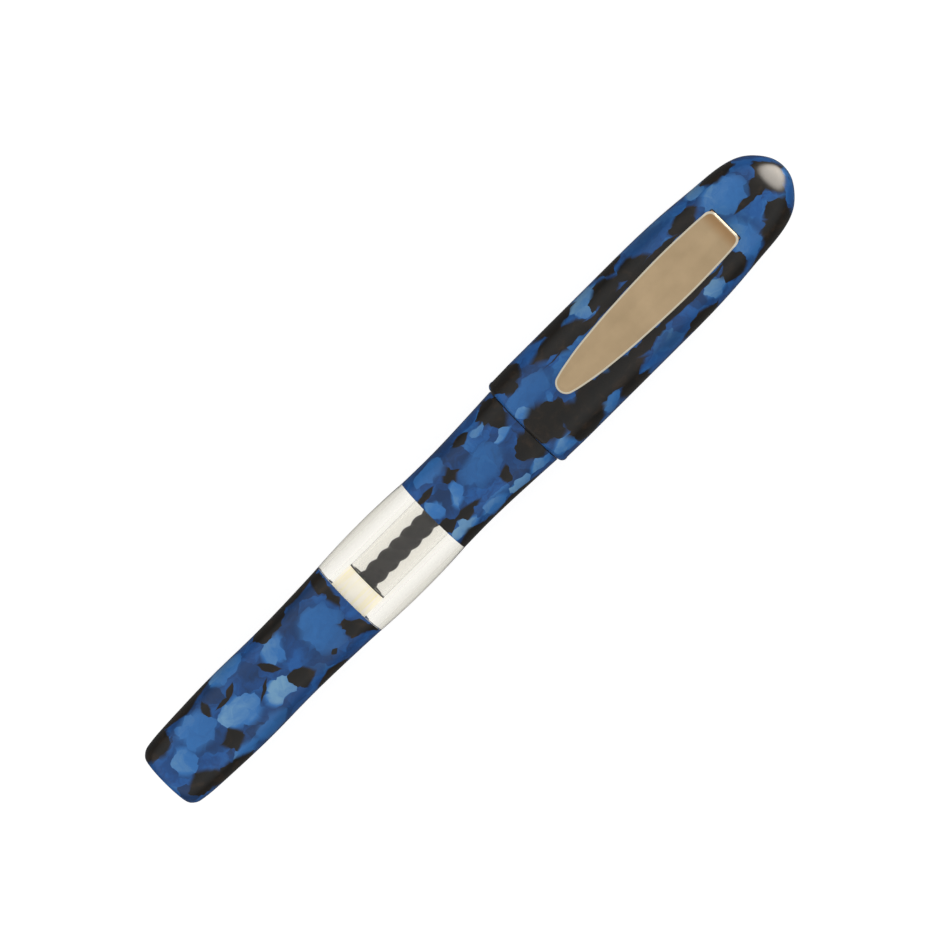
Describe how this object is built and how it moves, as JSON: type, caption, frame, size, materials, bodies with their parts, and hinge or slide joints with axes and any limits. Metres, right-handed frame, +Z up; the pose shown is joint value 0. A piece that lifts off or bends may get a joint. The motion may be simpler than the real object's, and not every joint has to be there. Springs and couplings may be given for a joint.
{
  "type": "fountain pen",
  "caption": "Closed fountain pen with a screw cap, spring clip, clear ink window, marbled resin body and a screw piston converter inside.",
  "frame": {"origin": "bottom centre of the closed pen's box, below the pen's axis and midway between the flat tail and the cap's dome", "axes": "+X along the pen from the tail to the cap's dome, +Z up through the clip"},
  "size_m": [0.138, 0.017, 0.0188],
  "materials": {
    "marbled_resin": "polished, blue and black marbled",
    "clear_acrylic": "clear, polished",
    "clear_tube": "clear",
    "gold_satin": "satin face, polished rim",
    "gold_polished": "polished",
    "black_plastic": "moulded, semi-gloss",
    "plum_plastic": "moulded",
    "grey_plastic": "moulded",
    "black_rubber": "matt",
    "nib_steel": "polished",
    "tipping_alloy": "polished"
  },
  "bodies": {
    "section": {"section_grip": "marbled_resin", "section_o_ring": "black_rubber", "nib_housing": "black_plastic", "nib": "nib_steel", "nib_tipping": "tipping_alloy", "feed": "black_plastic"},
    "cap": {"cap_body": "marbled_resin", "inner_cap": "black_plastic", "clip_tang_ring": "gold_satin"},
    "clip": {"clip_blade": "gold_satin"},
    "barrel": {"barrel_rear": "marbled_resin", "ink_window": "clear_acrylic", "barrel_front": "marbled_resin"},
    "converter": {"converter_tube": "clear_tube", "converter_collar": "gold_polished", "collar_gasket": "black_rubber", "converter_guide": "black_plastic"},
    "knob": {"converter_knob": "black_plastic"},
    "rod": {"piston_rod": "plum_plastic"},
    "piston": {"piston_core": "grey_plastic", "piston_seal": "black_rubber"}
  },
  "joints": [
    {"name": "cap_off", "type": "slide", "parent": "section", "child": "cap", "axis": [1, 0, 0], "range_m": [0, 0.055]},
    {"name": "clip_flex", "type": "hinge", "parent": "cap", "child": "clip", "pos_m": [0.05555, 0, 0.015], "axis": [0, 1, 0], "range_deg": [0, 3.5], "stiffness_Nm_per_rad": 2.4},
    {"name": "barrel_off", "type": "slide", "parent": "section", "child": "barrel", "axis": [-1, 0, 0], "range_m": [0, 0.075]},
    {"name": "converter_off", "type": "slide", "parent": "section", "child": "converter", "axis": [-1, 0, 0], "range_m": [0, 0.008]},
    {"name": "knob_turn", "type": "hinge", "parent": "converter", "child": "knob", "pos_m": [-0.044, 0, 0.0085], "axis": [-1, 0, 0], "range_deg": [0, 1620.1]},
    {"name": "rod_slide", "type": "slide", "parent": "knob", "child": "rod", "axis": [-1, 0, 0], "range_m": [0, 0.02206]},
    {"name": "piston_slide", "type": "slide", "parent": "converter", "child": "piston", "axis": [-1, 0, 0], "range_m": [0, 0.02205]}
  ],
  "couplings": [
    {"joint": "knob_turn", "follows": "piston_slide", "rad_per_m": 1282.3},
    {"joint": "rod_slide", "follows": "piston_slide", "ratio": 1}
  ]
}
